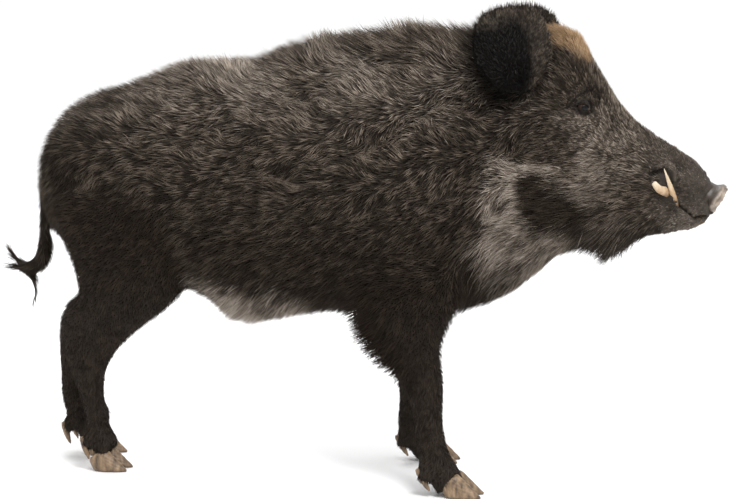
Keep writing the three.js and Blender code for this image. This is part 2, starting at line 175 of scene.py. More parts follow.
def distance_to_line(points, line):
    """Distance in the x-z plane to a chain of points, and the direction of the nearest step."""
    best, course = np.full(len(points), 1e9), np.zeros((len(points), 3))
    flat = points[:, [0, 2]]
    for start, end in zip(line[:-1], line[1:]):
        a, b = start[[0, 2]], end[[0, 2]]
        t = np.clip(((flat - a) @ (b - a)) / ((b - a) @ (b - a)), 0, 1)
        away = np.linalg.norm(flat - a - t[:, None] * (b - a), axis=1)
        closer = away < best
        best[closer], course[closer] = away[closer], unit(end - start)
    return best, course


def ridge(points, line, width):
    """1 along a line on the side of the body, falling to 0 within about twice width."""
    return np.exp(-((distance_to_line(points, line)[0] / width) ** 2))


class Regions:
    """Where each point lies on the animal, as soft shares from 0 to 1."""

    def __init__(self, p):
        x, y, z = p[:, 0], np.abs(p[:, 1]), p[:, 2]
        self.p, self.x, self.y, self.z = p, x, y, z
        self.side = np.column_stack([x, y, z])  # the left half folded on to the right
        # How far in front of the cut between neck and head.
        lean = 0.28 - 0.22 * smooth(0.70, 0.76, z)
        ahead = (x - EYE[0] + 0.075) * np.cos(lean) - (z - 0.64) * np.sin(lean)
        self.ears = close_to(EAR_SURFACE, p, 0.004, 0.010) * smooth(
            EAR_ROOT[2] - 0.008, EAR_ROOT[2] + 0.012, z
        )
        self.head = smooth(-0.03, 0.04, ahead) * (1 - self.ears)
        self.muzzle = smooth(EYE[0] + 0.075, EYE[0] + 0.15, x) * smooth(0.40, 0.42, z)
        self.lips = smooth(SNOUT_TIP - 0.085, SNOUT_TIP - 0.05, x)
        self.tail = close_to(TAIL_SURFACE, p, 0.006, 0.014) * smooth(0.55, 0.51, z)
        fore = smooth(-0.05, 0.0, x) * smooth(0.40, 0.29, z)
        hind = smooth(-0.26, -0.31, x) * smooth(0.42, 0.27, z) * smooth(0.01, 0.03, y)
        self.leg = np.maximum(fore * smooth(0.03, 0.06, y), hind) * (1 - self.tail)
        self.thigh = smooth(-0.28, -0.34, x) * smooth(0.62, 0.40, z) * (1 - self.tail)
        self.shank = self.leg * smooth(0.27, 0.19, z)
        self.foot = smooth(0.085, 0.05, z)
        self.belly = smooth(0.36, 0.29, z) * smooth(-0.42, -0.33, x) * smooth(0.1, 0.04, x)
        self.belly = np.maximum(self.belly * (1 - self.leg), 0)
        # The crest: along the middle of the back from the loin to the forehead.
        self.crest = (
            smooth(0.085, 0.03, y)
            * smooth(0.70, 0.76, z)
            * smooth(-0.30, -0.10, x)
            * (1 - self.ears)
        )
        self.back = smooth(0.60, 0.74, z) * (1 - self.head) * (1 - self.ears)
        self.beard = smooth(0.385, 0.435, x) * smooth(0.585, 0.535, x) * smooth(0.50, 0.455, z)
        self.cheek = self.head * smooth(EYE[2] - 0.05, EYE[2] - 0.12, z) * (1 - self.muzzle)
        # Where the hair is short: the face, the ears and the shanks.
        self.face = self.head * (1 - 0.75 * self.cheek) * (1 - self.beard)
        self.chest = smooth(0.17, 0.24, x) * smooth(0.48, 0.38, z) * (1 - self.beard)
        self.chest *= 1 - self.leg
        self.elbow = np.zeros(len(x))
        for side, line in ELBOW_LINES.items():
            self.elbow = np.maximum(self.elbow, ridge(p, line, 0.028) * (p[:, 1] * side > 0.04))


def coat_depth(r):
    """How deep the coat stands over the skin."""
    depth = 0.018 + 0.003 * r.back + 0.008 * r.crest + 0.006 * r.belly + 0.008 * r.chest
    depth = depth * (1 - r.head) + r.head * (0.0065 + 0.003 * r.crest + 0.004 * r.cheek)
    depth += 0.014 * r.beard * (1 - r.muzzle)
    depth = depth * (1 - 0.45 * r.thigh) * (1 - 0.35 * r.leg)
    depth = depth * (1 - r.shank) + 0.0036 * r.shank
    depth = depth * (1 - r.foot) + 0.0012 * r.foot
    depth += 0.007 * r.elbow
    depth = depth * (1 - r.muzzle) + 0.0032 * r.muzzle
    depth = depth * (1 - r.lips) + 0.0010 * r.lips
    depth = depth * (1 - r.ears) + 0.0030 * r.ears
    depth = depth * (1 - r.tail) + 0.0050 * r.tail
    at_eye = near(r.side, LEFT_EYE, 0.02, 1.2)
    return depth * (1 - at_eye) + 0.0020 * at_eye


# ------------------------------------------------------------------ skin
def gridded(names, voxel, swell=lambda name: 0.0, extra=None):
    """The named nodes joined as one closed mesh on an even grid."""
    joined = bmesh.new()
    for name in names:
        part = bmesh.new()
        part.from_mesh(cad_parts[name].data)
        bmesh.ops.remove_doubles(part, verts=part.verts, dist=1e-6)
        part.normal_update()
        for vert in part.verts:
            vert.co += vert.normal * swell(name)
        swollen = bpy.data.meshes.new("swollen")
        part.to_mesh(swollen)
        part.free()
        joined.from_mesh(swollen)
        bpy.data.meshes.remove(swollen)
    if extra:
        extra(joined)
    source = bpy.data.meshes.new("joined")
    joined.to_mesh(source)
    joined.free()
    holder = bpy.data.objects.new("joined", source)
    bpy.context.collection.objects.link(holder)
    grid = holder.modifiers.new("grid", "REMESH")
    grid.mode, grid.voxel_size, grid.adaptivity = "VOXEL", voxel, 0
    evaluated = holder.evaluated_get(bpy.context.evaluated_depsgraph_get())
    mesh = bpy.data.meshes.new_from_object(evaluated)
    bpy.data.objects.remove(holder)
    bpy.data.meshes.remove(source)
    return without_islands(mesh)


def without_islands(mesh):
    """Leaves only the largest connected body of the mesh."""
    work = bmesh.new()
    work.from_mesh(mesh)
    unseen, bodies = set(work.verts), []
    while unseen:
        body, edge = set(), {unseen.pop()}
        while edge:
            body |= edge
            edge = {e.other_vert(v) for v in edge for e in v.link_edges} - body
        unseen -= body
        bodies.append(body)
    largest = max(bodies, key=len)
    stray = [vert for vert in work.verts if vert not in largest]
    bmesh.ops.delete(work, geom=stray, context="VERTS")
    work.to_mesh(mesh)
    work.free()
    return mesh


def flesh_swell(name):
    """How far a flesh node is swollen, so that neighbours meet and thin parts fill the grid."""
    if "ear" in name:
        return 0.0030
    return 0.0018 if name == "tail_tip" else 0.0006


def dewclaw_pads(joined):
    """A lobe of flesh from the back of each foot down to the root of each dewclaw."""
    for leg in LEGS:
        axis_y = centre(f"{leg}_pastern")[1]
        for place in ("outer", "inner"):
            low, high = corners(f"{leg}_dewclaw_{place}")
            y = (low[1] + high[1]) / 2
            root = np.array([low[0] + 0.0115, y, high[2] - 0.006])
            inside = np.array([root[0] + 0.024, y * 0.45 + axis_y * 0.55, high[2] + 0.040])
            for share in np.linspace(0, 1, 7):
                bmesh.ops.create_icosphere(
                    joined, subdivisions=2, radius=0.0125 + 0.005 * share,
                    matrix=Matrix.Translation(root * (1 - share) + inside * share),
                )


def points_of(mesh):
    co = np.empty(len(mesh.vertices) * 3)
    mesh.vertices.foreach_get("co", co)
    return co.reshape(-1, 3)


def normals_of(mesh):
    normals = np.empty(len(mesh.vertices) * 3)
    mesh.vertex_normals.foreach_get("vector", normals)
    return normals.reshape(-1, 3)


def set_points(mesh, co):
    mesh.vertices.foreach_set("co", co.ravel())
    mesh.update()


def edges_of(mesh):
    edges = np.empty(len(mesh.edges) * 2, dtype=np.int64)
    mesh.edges.foreach_get("vertices", edges)
    return edges.reshape(-1, 2)


def relax(values, edges, rounds, share):
    """Pulls each value towards the mean of its neighbours', by share each round."""
    values = values.copy()
    one_column = values.ndim == 1
    if one_column:
        values = values[:, None]
    a, b = edges[:, 0], edges[:, 1]
    size = len(values)
    degree = np.maximum(np.bincount(a, minlength=size) + np.bincount(b, minlength=size), 1)
    share = np.broadcast_to(np.asarray(share, float), size)[:, None]
    for _ in range(rounds):
        mean = np.column_stack([
            np.bincount(a, values[b, k], size) + np.bincount(b, values[a, k], size)
            for k in range(values.shape[1])
        ]) / degree[:, None]
        values += share * (mean - values)
    return values[:, 0] if one_column else values


def limited_depth(mesh, co, normals, depth):
    """The coat's depth, less where the body is thin, so the skin never turns inside out."""
    tree = BVHTree.FromPolygons(
        [Vector(p) for p in co], [tuple(f.vertices) for f in mesh.polygons]
    )
    thickness = np.full(len(co), 1.0)
    for i in np.flatnonzero(depth > 0):
        start = Vector(co[i] - normals[i] * 0.0005)
        hit = tree.ray_cast(start, Vector(-normals[i]), 0.2)
        if hit[0] is not None:
            thickness[i] = hit[3]
    return np.minimum(depth, THINNEST * thickness)


def add_piece(name, mesh, material):
    """Puts a mesh in the scene as a smooth piece that rides on the model's one body."""
    mesh.materials.clear()
    mesh.materials.append(material)
    mesh.shade_smooth()
    piece = bpy.data.objects.new(name, mesh)
    bpy.context.collection.objects.link(piece)
    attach(piece, "root")
    return piece


def split_faces(mesh, chosen):
    """Cuts the faces that chosen(centres) picks into quarters."""
    work = bmesh.new()
    work.from_mesh(mesh)
    picked = chosen(np.array([face.calc_center_median() for face in work.faces]))
    edges = {edge for face, pick in zip(work.faces, picked) if pick for edge in face.edges}
    bmesh.ops.subdivide_edges(work, edges=list(edges), cuts=1, use_grid_fill=True, smooth=0.6)
    work.to_mesh(mesh)
    work.free()


# Lines on the side of the face: the mouth from under the nose disc back to the tusks, the fold
# of the lip that arches over the lower tusk, the lip at the tusk's foot, and the creases above,
# below and in front of the eye.
MOUTH = chain(DISC, (-22, -22), (-38, -28), (-52, -17), (-66, -6), (-74, 5))
LIP_FOLD = chain(DISC, (-101, 60), (-92, 66), (-82, 62), (-74, 52), (-74, 38))
TUSK_FOOT = chain(DISC, (-86, 26), (-82, 18), (-78, 8), (-76, 0))
EYE_CREASE = chain(EYE, (-27, 0), (-22, 6), (-10, 18), (6, 27), (17, 24), (25, 12))
LOWER_CREASE = chain(EYE, (-18, -8), (-6, -12), (8, -13), (18, -12))
CORNER_CREASE = chain(EYE, (12, -4), (18, -9), (24, -16))


def face_relief(r):
    """Extra height of the skin: sockets, cheeks, brow, lips, mouth, wrinkles and folds."""
    p = r.side
    lift = -0.0030 * ridge(p, EYE_CREASE, 0.0028) + 0.0022 * ridge(p, EYE_CREASE + (0, 0, 0.008), 0.005)
    lift -= 0.0014 * ridge(p, LOWER_CREASE, 0.0022) + 0.0020 * ridge(p, CORNER_CREASE, 0.0020)
    lift -= 0.0030 * near(p, LEFT_EYE + (0.050, -0.01, -0.018), 0.020, 1.3, (1.8, 1, 1))
    lift += 0.0060 * near(p, LEFT_EYE + (-0.035, 0.0, -0.095), 0.038, 1.1, (1.4, 1, 1))  # cheek
    lift *= smooth(0.03, 0.05, r.y)
    away, _ = distance_to_line(p, MOUTH)
    lift -= 0.0055 * np.exp(-((away / 0.0022) ** 2)) * smooth(0.535, 0.56, r.x)
    lift += 0.0020 * np.exp(-(((away - 0.006) / 0.0035) ** 2)) * smooth(0.535, 0.56, r.x)
    beside_tusk = smooth(0.030, 0.038, r.y)
    lift += 0.0075 * ridge(p, LIP_FOLD, 0.0042) * beside_tusk
    lift -= 0.0042 * ridge(p, LIP_FOLD + (-0.007, 0, -0.010), 0.0050) * beside_tusk
    lift += 0.0110 * ridge(p, TUSK_FOOT, 0.0080) * beside_tusk
    # Wrinkles behind the nose disc run parallel to it.
    behind = (DISC - r.side) @ DISC_FACING
    reach = smooth(0.062, 0.020, behind) * smooth(0.485, 0.50, r.z) * smooth(0.58, 0.60, r.x)
    lift += 0.0012 * reach * np.sin((behind + 0.003 * waves(p, 0.03, 3)) / 0.00125)
    lift += 0.0012 * r.muzzle * waves(p, 0.014, 4) + 0.0007 * r.muzzle * waves(p, 0.006, 5)
    return lift


def near_eye(points, radius):
    folded = np.column_stack([points[:, 0], np.abs(points[:, 1]), points[:, 2]])
    return np.linalg.norm(folded - LEFT_EYE, axis=1) < radius


def set_eyelids(co):
    """Lids: the skin bulges over each ball and opens in an almond shape, its front corner low."""
    for hand, side in (("right", -1), ("left", 1)):
        low, high = corners(f"eye_{hand}")
        radius = (high[0] - low[0]) / 2
        out = unit(np.array([0.10, side, 0.12]))
        ahead = np.array([math.cos(0.20), 0, -math.sin(0.20)])
        ahead = unit(ahead - out * (ahead @ out))
        up = np.cross(out, ahead) * -side
        rel = co - (low + high) / 2
        u, v, w = rel @ ahead, rel @ up, rel @ out
        zone = (np.hypot(u, v) < radius + 0.004) & (w > 0)
        u, v, w = u[zone], v[zone], w[zone]
        round_sq = u**2 + v**2
        ball = np.sqrt(np.maximum(radius**2 - round_sq, 0))
        lid = np.sqrt(np.maximum((radius + 0.0016) ** 2 - round_sq, 0))
        # Below 1 inside the opening: long corners, the upper lid arched more than the lower.
        almond = (u / 0.0125) ** 2 + np.abs(v) / np.where(v > 0, 0.0056, 0.0046)
        lid = np.maximum(w, lid) + 0.0009 * np.exp(-(((almond - 1.35) / 0.25) ** 2))
        open_share = smooth(1.12, 0.86, almond)
        target = lid * (1 - open_share) + (ball - 0.0040) * open_share
        co[zone] += (target - w)[:, None] * out
    return co


def build_skin():
    mesh = gridded(FLESH + ["eye_right", "eye_left"], VOXEL, flesh_swell, dewclaw_pads)
    co, edges = points_of(mesh), edges_of(mesh)
    r = Regions(co)
    soft = 0.5 * (1 - 0.9 * r.ears) * (1 - 0.75 * r.tail) * (1 - 0.6 * r.foot)
    co = relax(co, edges, 10, soft)
    set_points(mesh, co)
    normals = normals_of(mesh)
    depth = limited_depth(mesh, co, normals, coat_depth(Regions(co)))
    depth = relax(depth, edges, 6, 0.5)
    smooth_normals = unit(relax(normals, edges, 6, 0.5))
    co = co - smooth_normals * depth[:, None]
    co = relax(co, edges, 3, soft)
    set_points(mesh, co)
    # A cuff of skin hangs a little way over the top of each hoof.
    cuff = smooth(0.064, 0.040, co[:, 2])[:, None]
    co = co + cuff * (normals_of(mesh) * 0.0018 - CUFF_DROP)
    set_points(mesh, co)
    split_faces(mesh, lambda c: (c[:, 0] > EYE[0] + 0.08) | near_eye(c, 0.050))
    split_faces(mesh, lambda c: (c[:, 0] > SNOUT_TIP - 0.140) | near_eye(c, 0.030))
    split_faces(mesh, lambda c: near_eye(c, 0.017))
    co, normals = points_of(mesh), normals_of(mesh)
    r = Regions(co)
    forward = 0.010 * r.lips * smooth(0.2, 0.8, normals @ DISC_FACING) * smooth(0.49, 0.50, r.z)
    co = co + normals * face_relief(r)[:, None] + forward[:, None] * DISC_FACING
    co = set_eyelids(co)
    set_points(mesh, co)
    return mesh


def unwrap(obj):
    """An unwrap of the skin by its own shape, on the map that the coat is rooted in."""
    bpy.context.view_layer.objects.active = obj
    obj.select_set(True)
    obj.data.uv_layers.new(name="OFBake")
    bpy.ops.object.mode_set(mode="EDIT")
    bpy.ops.mesh.select_all(action="SELECT")
    bpy.ops.uv.smart_project(angle_limit=math.radians(60), island_margin=0.003)
    bpy.ops.object.mode_set(mode="OBJECT")
    obj.select_set(False)


# ------------------------------------------------------------------ markings
def markings(r):
    """Shares of dark, pale, tan and black at each point, the same for the skin and the coat. The black
    share is partly black hair and partly painted shade in creases, the mouth's line and the ear's cup.
    """
    p = r.side + 0.012 * np.column_stack([waves(r.p, 0.05, s) for s in (11, 12, 13)])
    low = smooth(0.66, 0.40, p[:, 2]) * (1 - r.head)
    dark = 0.85 * low + 0.9 * r.leg + 0.55 * r.thigh
    dark = np.maximum(dark, 0.65 * smooth(-0.36, -0.50, r.x))
    dark = np.maximum(dark, 1.2 * near(p, EAR_ROOT + (0.012, 0, -0.01), 0.032, 0.6))
    dark = np.maximum(dark, 0.9 * near(p, LEFT_EYE + (-0.048, 0, -0.168), 0.036, 0.7, (1.5, 2, 1)))
    dark = np.maximum(dark, 0.5 * near(p, LEFT_EYE + (-0.090, 0, -0.050), 0.050, 0.6, (1.2, 2, 1)))
    dark = np.maximum(dark, 0.9 * r.chest * smooth(0.46, 0.38, r.z))
    dark = np.maximum(dark, 0.8 * r.tail)
    dark = np.maximum.reduce([dark, 0.9 * r.beard, 0.6 * r.muzzle])
    dark = np.maximum(dark, 0.5 * smooth(0.13, 0.21, r.x) * (1 - r.head))
    dark = np.maximum(dark, 0.6 * near(p, LEFT_EYE + (-0.030, 0, 0.045), 0.050, 0.6, (1, 2, 1)))
    # Pale hair: behind the cheek, streaks on the cheek, the flank in front of the thigh.
    broken = np.clip(0.75 + 0.55 * waves(r.p, 0.028, 16) + 0.35 * waves(r.p, 0.012, 17), 0, 1.2)
    patches = [  # strength, place from the eye, radius, stretch
        (1.35, (-0.134, 0.0, -0.165), 0.022, (0.9, 4, 1.9)),
        (0.90, (-0.112, 0.0, -0.240), 0.026, (1.7, 4, 0.8)),
        (1.90, (-0.070, 0.0, -0.112), 0.011, (2.6, 4, 0.75)),
        (0.40, (0.000, 0.0, -0.140), 0.014, (2.2, 4, 0.8)),
        (0.42, (0.058, 0.0, -0.080), 0.022, (1.5, 4, 1.2)),
        (0.30, (0.055, 0.0, -0.050), 0.024, (1.3, 4, 1.2)),
        (0.30, (0.020, 0.0, -0.030), 0.022, (1.6, 4, 0.9)),
    ]
    pale = np.zeros(len(p))
    for strength, place, radius, stretch in patches:
        pale = np.maximum(pale, strength * near(p, LEFT_EYE + place, radius, 1.3, stretch) * broken)
    flank = smooth(0.375, 0.335, p[:, 2]) * smooth(-0.31, -0.26, p[:, 0])
    flank *= smooth(-0.06, -0.13, p[:, 0]) * (1 - r.leg)
    pale = np.maximum(pale, 0.95 * flank * broken)
    throat = smooth(0.24, 0.30, r.x) * smooth(0.45, 0.40, r.z - 0.25 * (r.x - 0.25)) * (1 - r.leg)
    pale = np.maximum(pale, 0.45 * throat * broken * (1 - r.beard))
    pale = np.maximum(pale, 0.18 * r.muzzle * broken * smooth(0.53, 0.56, r.z))
    grey = 0.56 * r.back * (0.6 + 0.4 * waves(r.p, 0.09, 15)) * (1 - r.crest)
    pale = np.maximum(pale, grey * (1 - 0.6 * smooth(0.14, 0.26, r.x)))
    brow_line = chain(EYE, (-98, 148), (-44, 128), (14, 88))
    tan = ridge(r.side, brow_line, 0.025) * smooth(0.085, 0.05, r.y)
    tan = smooth(0.35, 0.65, tan + 0.12 * waves(r.p, 0.02, 18))
    lip_tip = smooth(SNOUT_TIP - 0.060, SNOUT_TIP - 0.038, r.x) * smooth(0.505, 0.48, r.z)
    tan = np.maximum(tan, 0.8 * lip_tip)
    # The ears have black hair. Round the ear's cup the black is deepened, partly for dark hair and
    # partly as painted shade in the cup.
    ear_cup_hair_and_shade = near(p, EAR_ROOT + (-0.016, 0.02, 0.048), 0.058, 0.40, (0.85, 2, 1.2))
    black = np.maximum(r.ears * (0.35 + 0.65 * ear_cup_hair_and_shade), 0.85 * ear_cup_hair_and_shade * (1 - tan))
    # Painted shade: black along the mouth's line and in the dip under the lip fold. The black at the
    # lids is their own dark skin.
    away, _ = distance_to_line(r.side, MOUTH)
    mouth_line_shade = np.exp(-((away / 0.0030) ** 2)) * smooth(0.545, 0.565, r.x)
    under_fold_shade = ridge(r.side, LIP_FOLD + (-0.008, 0, -0.011), 0.0080) * smooth(0.03, 0.038, r.y)
    lids = near(r.side, LEFT_EYE, 0.0130, 0.5, (1.25, 1, 0.85))
    black = np.maximum.reduce([black, 0.8 * mouth_line_shade, 0.9 * under_fold_shade, 0.8 * lids])
    # Painted shade: black along the sunken crease over the eye.
    black = np.maximum(black, 0.6 * ridge(r.side, EYE_CREASE, 0.0028) * smooth(0.03, 0.05, r.y))
    fold = ridge(r.side, LIP_FOLD, 0.0045) * smooth(0.03, 0.038, r.y)
    pale = np.maximum(pale, 0.55 * fold)
    return np.clip(np.column_stack([dark, pale, tan, black]), 0, 1)


def bareness(r):
    """How far the hide shows instead of the colour of the underfur."""
    return np.clip(np.maximum(r.lips, 0.6 * r.muzzle), 0, 1)


def add_colour(mesh, name, values):
    layer = mesh.attributes.new(name, "FLOAT_COLOR", "POINT")
    layer.data.foreach_set("color", np.ascontiguousarray(values, dtype=np.float32).ravel())


# ------------------------------------------------------------------ coat
def lie_of_coat(r):
    """The direction that the hair points in at each root, before it is laid on the skin."""
    x, z = r.x, r.z
    count = len(x)

    def toward(vx, vy, vz):
        side = np.sign(r.p[:, 1] + 1e-9)
        return np.column_stack([np.full(count, vx), side * vy, np.full(count, vz)])

    def blend(base, share, other):
        return base * (1 - share[:, None]) + other * share[:, None]

    lie = toward(-1, 0, -0.30)
    lie = blend(lie, smooth(-0.42, -0.58, x), toward(-0.55, 0, -1.0))
    lie = blend(lie, r.belly, toward(-0.8, -0.1, -0.9))
    lie = blend(lie, r.thigh * 0.6, toward(-0.7, 0, -0.8))
    lie = blend(lie, r.chest, toward(-0.55, 0, -1.0))
    lie = blend(lie, r.head, toward(-1, 0.05, 0.05))
    brow = r.head * smooth(EYE[2] - 0.03, EYE[2] + 0.05, z)
    lie = blend(lie, brow, toward(-0.75, 0.1, 0.65))
    lie = blend(lie, r.beard, toward(-0.45, 0, -1.0))
    lie = blend(lie, r.crest, toward(-1, 0, 0.22))
    lie = blend(lie, r.leg, toward(-0.30, 0, -1))
    lie = blend(lie, r.elbow, toward(-1, 0, -0.55))
    from_ear = r.p - EAR_ROOT * np.column_stack([
        np.ones(count), np.sign(r.p[:, 1] + 1e-9), np.ones(count)
    ])
    lie = blend(lie, r.ears, unit(from_ear))
    away, tail_lie = distance_to_line(r.p, TAIL_LINES[0])
    for line in TAIL_LINES[1:]:
        this_away, course = distance_to_line(r.p, line)
        closer = this_away < away
        away[closer], tail_lie[closer] = this_away[closer], course[closer]
    return unit(blend(lie, r.tail, tail_lie))


def swirl(r):
    """How far the lie is turned about the skin's normal, in radians: the coat's waves."""
    strong = 0.50 * smooth(0.42, 0.60, r.z) * (1 - r.head) + 0.16
    strong = strong * (1 - 0.7 * r.leg) * (1 - 0.8 * r.ears) * (1 - r.tail)
    return strong * (waves(r.p, 0.055, 21) + 0.6 * waves(r.p, 0.024, 22))


def tuft_length(r):
    length = 0.0255 + 0.002 * r.back + 0.016 * r.crest + 0.014 * r.belly + 0.024 * r.chest
    length = length * (1 - r.head) + r.head * (0.0125 + 0.007 * r.crest)
    length += 0.013 * r.cheek + 0.032 * r.beard * (1 - r.muzzle)
    length = length * (1 - 0.30 * r.thigh) * (1 - 0.40 * r.leg)
    length = length * (1 - r.shank) + 0.0110 * r.shank
    length += 0.034 * r.elbow
    length = length * (1 - r.muzzle) + 0.0060 * r.muzzle
    length = length * (1 - r.ears) + 0.0080 * r.ears
    length = length * (1 - r.tail) + r.tail * (0.018 + 0.015 * smooth(-0.60, -0.64, r.x))
    at_eye = near(r.side, LEFT_EYE, 0.022, 1.0)
    return length * (1 - at_eye) + 0.0065 * at_eye


def skin_roots(mesh, count, density):
    """count random places on the skin: point, normal and place on the OFBake map."""
    mesh.calc_loop_triangles()
    size = len(mesh.loop_triangles)
    verts, loops = np.empty(size * 3, dtype=np.int64), np.empty(size * 3, dtype=np.int64)
    mesh.loop_triangles.foreach_get("vertices", verts)
    mesh.loop_triangles.foreach_get("loops", loops)
    verts, loops = verts.reshape(-1, 3), loops.reshape(-1, 3)
    co, normals = points_of(mesh), normals_of(mesh)
    uv = np.empty(len(mesh.loops) * 2)
    mesh.uv_layers["OFBake"].uv.foreach_get("vector", uv)
    uv = uv.reshape(-1, 2)
    a, b, c = co[verts[:, 0]], co[verts[:, 1]], co[verts[:, 2]]
    area = np.linalg.norm(np.cross(b - a, c - a), axis=1) / 2
    weight = area * density(Regions((a + b + c) / 3))
    # Evenly spaced shares of the total weight, jittered, spread the roots without clumps.
    steps = (np.arange(count) + rng.uniform(0, 1, count)) / count
    face = np.searchsorted(np.cumsum(weight) / weight.sum(), steps).clip(0, size - 1)
    s, t = rng.uniform(0, 1, (2, count))
    flip = s + t > 1
    s[flip], t[flip] = 1 - s[flip], 1 - t[flip]
    share = np.column_stack([1 - s - t, s, t])[:, :, None]
    return (
        (co[verts[face]] * share).sum(1),
        unit((normals[verts[face]] * share).sum(1)),
        (uv[loops[face]] * share).sum(1),
    )


class Tufts:
    """Roots, directions and sizes of many tufts, and the tone that each has."""

    def __init__(self, mesh, count, density, width):
        self.root, self.normal, self.uv = skin_roots(mesh, count, density)
        r = Regions(self.root)
        lie = lie_of_coat(r)
        upright = (lie * self.normal).sum(1)
        flat = unit(lie - upright[:, None] * self.normal)
        turn = swirl(r) + rng.normal(0, TURN_SPREAD, count)
        across = np.cross(self.normal, flat)
        flat = flat * np.cos(turn)[:, None] + across * np.sin(turn)[:, None]
        self.length = tuft_length(r) * rng.uniform(0.72, 1.2, count)
        rise = 0.92 * coat_depth(r) / tuft_length(r)
        lift = np.arcsin(np.clip(rise, MIN_LIFT, MAX_LIFT))
        lift = lift * rng.uniform(0.75, 1.2, count)
        # On the rim of an ear or the tip of the tail the hair stands straight on outwards.
        rim = smooth(0.55, 0.92, upright) * np.maximum(r.ears, r.tail)
        lift = lift * (1 - rim) + RIM_LIFT * rim
        self.length *= 1 + rim * (1 - 0.6 * r.tail) * rng.uniform(0.0, 1.0, count)
        angle = lift[:, None]
        course = flat * np.cos(angle) + self.normal * np.sin(angle)
        self.tip = self.root + course * self.length[:, None]
        self.across = unit(np.cross(self.normal, flat))
        self.width = width(r) * rng.uniform(0.7, 1.25, count)
        self.tone = rng.uniform(0, 1, count)
        # Each takes its marks from a place nearby, so that hairs of two colours mingle.
        strayed = self.root + rng.normal(0, STRAY, (count, 3)) * self.length[:, None]
        self.marks = markings(Regions(strayed))
        # Pale bristles stand singly among dark ones, so pale ground looks grizzled.
        pale = self.marks[:, 1]
        self.marks[:, 1] = 0.45 * pale + 0.55 * (pale > rng.uniform(0, 1, count))
        self.gather(r)

    def gather(self, r):
        """Leans the tufts of a lock together and gives a lock one tone."""
        count = len(self.root)
        leaders = rng.permutation(count)[: count // LOCK_SIZE]
        tree = KDTree(len(leaders))
        for i, leader in enumerate(leaders):
            tree.insert(self.root[leader], i)
        tree.balance()
        mine = leaders[np.array([tree.find(place)[1] for place in self.root])]
        pull = LOCK_PULL * (1 - 0.5 * r.shank)[:, None] * rng.uniform(0.5, 1.2, count)[:, None]
        self.tip += pull * (self.tip[mine] - self.tip) * 0.9
        self.tone = 0.45 * self.tone + 0.55 * self.tone[mine]
        self.tone = np.clip(0.5 + TONE_CONTRAST * (self.tone - 0.5), 0, 1)

    def build(self, name, chosen, material):
        """The chosen tufts as one mesh of spikes with three-sided roots."""
        root, tip = self.root[chosen], self.tip[chosen]
        across, normal = self.across[chosen], self.normal[chosen]
        width = self.width[chosen][:, None]
        count, per = len(root), 4  # vertices in a tuft
        sunk = root - normal * ROOT_SUNK
        sides = [across * 0.5, normal * 0.42, -across * 0.5]
        verts = np.stack([sunk + side * width for side in sides] + [tip], axis=1)
        faces = np.array([(0, 1, 2), (0, 3, 1), (1, 3, 2), (2, 3, 0)])
        flat_faces = (faces[None] + per * np.arange(count)[:, None, None]).reshape(-1, 3)

        mesh = bpy.data.meshes.new(name)
        mesh.vertices.add(count * per)
        mesh.vertices.foreach_set("co", verts.reshape(-1))
        mesh.loops.add(flat_faces.size)
        mesh.loops.foreach_set("vertex_index", flat_faces.ravel())
        mesh.polygons.add(len(flat_faces))
        mesh.polygons.foreach_set("loop_start", np.arange(0, flat_faces.size, 3))
        mesh.update(calc_edges=True)
        # A tuft's square on the map: roots at the bottom, the tip at the top.
        spread = np.array([(0, 0), (0.5, -0.12), (1, 0), (0.5, 1)])
        patch = self.uv[chosen][:, None, :] + PATCH * (spread[None] - (0.5, 0.4))
        layer = mesh.uv_layers.new(name="OFBake")
        layer.uv.foreach_set("vector", patch.reshape(-1, 2)[flat_faces.ravel()].ravel())
        hair = np.zeros((count, per, 4))
        hair[:, -1, 0] = 1  # the tip; the three roots stay 0
        hair[:, :, 1] = self.tone[chosen][:, None]
        hair[:, :, 3] = 1
        add_colour(mesh, "hair", hair.reshape(-1, 4))
        add_colour(mesh, "marks", np.repeat(self.marks[chosen], per, axis=0))
        add_piece(name, mesh, material)


def bald(r):
    """1 where no hair grows: the eye's opening, the lips at the tusks and the mouth's edge."""
    at_tusk = near(r.side, TUSK + (-0.004, 0.004, 0.006), 0.013, 0.5, (1, 1, 2.0))
    return np.maximum.reduce([
        near(r.side, LEFT_EYE, 0.0125, 0.25),
        at_tusk,
        smooth(SNOUT_TIP - 0.040, SNOUT_TIP - 0.030, r.x),
    ])


def body_density(r):
    thin = 1 - np.maximum.reduce([r.shank, r.muzzle, r.ears, 0.85 * r.face])
    return thin * (1 + 0.5 * r.cheek + 0.5 * r.beard + 0.4 * r.tail + 0.3 * r.crest) * (1 - bald(r))


def short_density(r):
    by_eye = near_eye(r.p, 0.030) * 3.2
    kinds = [0.9 * r.shank, 3.2 * r.muzzle, 2.6 * r.ears, 2.1 * r.face, by_eye]
    return np.maximum.reduce(kinds) * (1 - bald(r))


def body_width(r):
    return 0.0020 - 0.0004 * r.head - 0.0004 * r.leg - 0.0006 * r.tail


def short_width(r):
    return 0.0021 - 0.0008 * r.muzzle - 0.0006 * r.ears - 0.0003 * r.face


def coat_pieces(tufts, name, material):
    """The tufts from tail to nose as pieces that each stay under PIECE_TRIANGLES."""
    order = np.argsort(tufts.root[:, 0])
    count = math.ceil(len(order) * TUFT_TRIANGLES / PIECE_TRIANGLES)
    for number, chosen in enumerate(np.array_split(order, count), 1):
        tufts.build(f"{name}_{number}", chosen, material)


# ------------------------------------------------------------------ materials
def new_material(name):
    material = bpy.data.materials.new(name)
    material.use_nodes = True
    tree = material.node_tree
    return material, tree, tree.nodes["Principled BSDF"]


def ramp_node(tree, source, stops):
    """A colour ramp fed by source; stops are (place, (r, g, b))."""
    node = tree.nodes.new("ShaderNodeValToRGB")
    while len(node.color_ramp.elements) < len(stops):
        node.color_ramp.elements.new(0.5)
    for element, (place, colour) in zip(node.color_ramp.elements, stops):
        element.position = place
        element.color = (*colour, 1)
    tree.links.new(source, node.inputs[0])
    return node.outputs[0]


